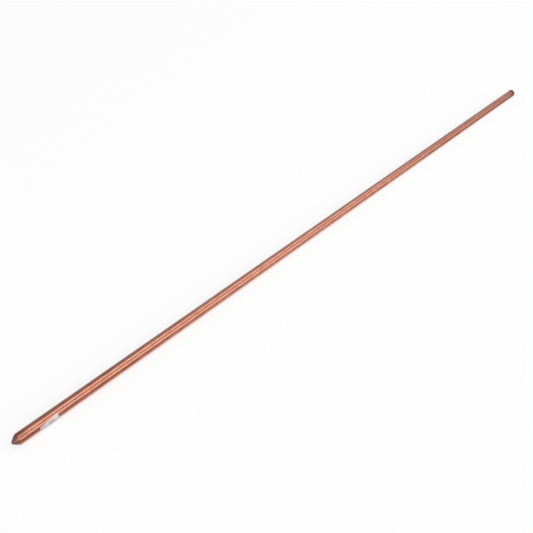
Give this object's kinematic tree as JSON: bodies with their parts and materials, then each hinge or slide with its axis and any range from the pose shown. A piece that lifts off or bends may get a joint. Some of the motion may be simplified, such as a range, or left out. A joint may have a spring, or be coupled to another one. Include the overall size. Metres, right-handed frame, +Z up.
{
  "type": "earth rod",
  "caption": "Plain round copper earth rod with a blunt conical point, a tapered driving end and a small blank label, driven into the ground to earth a line or a substation.",
  "frame": {"origin": "centre of the flat driving face, on the rod's axis", "axes": "+X along the rod, from the point out through the driving face; +Z up with the rod lying level; the label faces -Y"},
  "size_m": [1.2, 0.0143, 0.0142],
  "materials": {
    "copper": "satin drawn copper with a light brown tarnish",
    "label_film": "pale adhesive film with faint printed fields"
  },
  "bodies": {
    "root": {"rod": "copper", "label": "label_film"}
  },
  "joints": []
}
